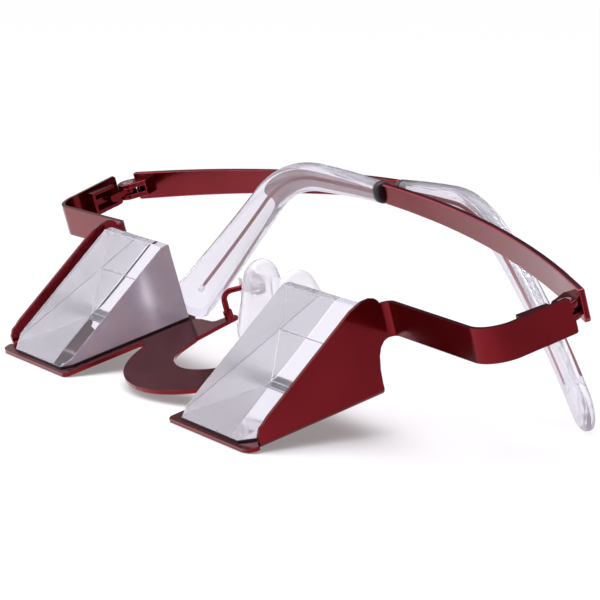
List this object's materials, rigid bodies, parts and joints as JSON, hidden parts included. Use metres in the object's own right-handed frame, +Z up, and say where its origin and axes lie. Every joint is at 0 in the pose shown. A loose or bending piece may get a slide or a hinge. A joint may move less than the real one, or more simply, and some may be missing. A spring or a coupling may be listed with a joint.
{
  "type": "belay glasses",
  "caption": "Belay glasses with angled glass prisms on a bent sheet metal front, folding temples with clear ear tips, and rocking clear nose pads.",
  "frame": {"origin": "on the table plane under the middle of the whole object as it lies folded: middle of its width, middle of its depth, z = 0 where the two plates' front edges and both ear tips touch", "axes": "+X along the width to the wearer's left-hand temple hinge as seen from behind, which is the right side seen from the front; +Y to the rear, towards the folded temples; +Z up from the table"},
  "size_m": [0.1452, 0.0546, 0.0318],
  "materials": {
    "frame_red": "glossy wine-red metallic lacquer over steel sheet",
    "prism_glass": "polished clear optical glass with finely ground sides",
    "mirror_paint": "mirror coat under black protective lacquer",
    "screw_steel": "fine turned steel",
    "insert_clear": "clear hard plastic",
    "pad_silicone": "clear soft silicone, slightly milky",
    "tip_clear": "clear glossy plastic over a wire core"
  },
  "bodies": {
    "front": {"front_frame": "frame_red", "prism_left": "prism_glass", "mirror_coat_left": "mirror_paint", "pad_arm_left": "frame_red", "pad_box_left": "screw_steel", "pad_screw_left": "screw_steel", "hinge_bracket_left": "frame_red", "prism_right": "prism_glass", "mirror_coat_right": "mirror_paint", "pad_arm_right": "frame_red", "pad_box_right": "screw_steel", "pad_screw_right": "screw_steel", "hinge_bracket_right": "frame_red"},
    "temple_r": {"hinge_fork_right": "frame_red", "hinge_screw_right": "screw_steel", "temple_right": "frame_red", "temple_tip_right": "tip_clear"},
    "temple_l": {"hinge_fork_left": "frame_red", "hinge_screw_left": "screw_steel", "temple_left": "frame_red", "temple_tip_left": "tip_clear"},
    "pad_r": {"pad_insert_right": "insert_clear", "nose_pad_right": "pad_silicone"},
    "pad_l": {"pad_insert_left": "insert_clear", "nose_pad_left": "pad_silicone"}
  },
  "joints": [
    {"name": "right_temple_fold", "type": "hinge", "parent": "front", "child": "temple_r", "pos_m": [0.06935, 0.00954, 0.02184], "axis": [0, 0.2706, -0.9627], "range_deg": [-4, 78.5]},
    {"name": "left_temple_fold", "type": "hinge", "parent": "front", "child": "temple_l", "pos_m": [-0.06935, 0.00954, 0.02184], "axis": [0, -0.2706, 0.9627], "range_deg": [0, 75.4]},
    {"name": "right_pad_rock", "type": "hinge", "parent": "front", "child": "pad_r", "pos_m": [0.0088, 0.00188, 0.01439], "axis": [0.0872, 0.959, 0.2696], "range_deg": [-10, 10]},
    {"name": "left_pad_rock", "type": "hinge", "parent": "front", "child": "pad_l", "pos_m": [-0.0088, 0.00188, 0.01439], "axis": [-0.0872, 0.959, 0.2696], "range_deg": [-10, 10]}
  ]
}
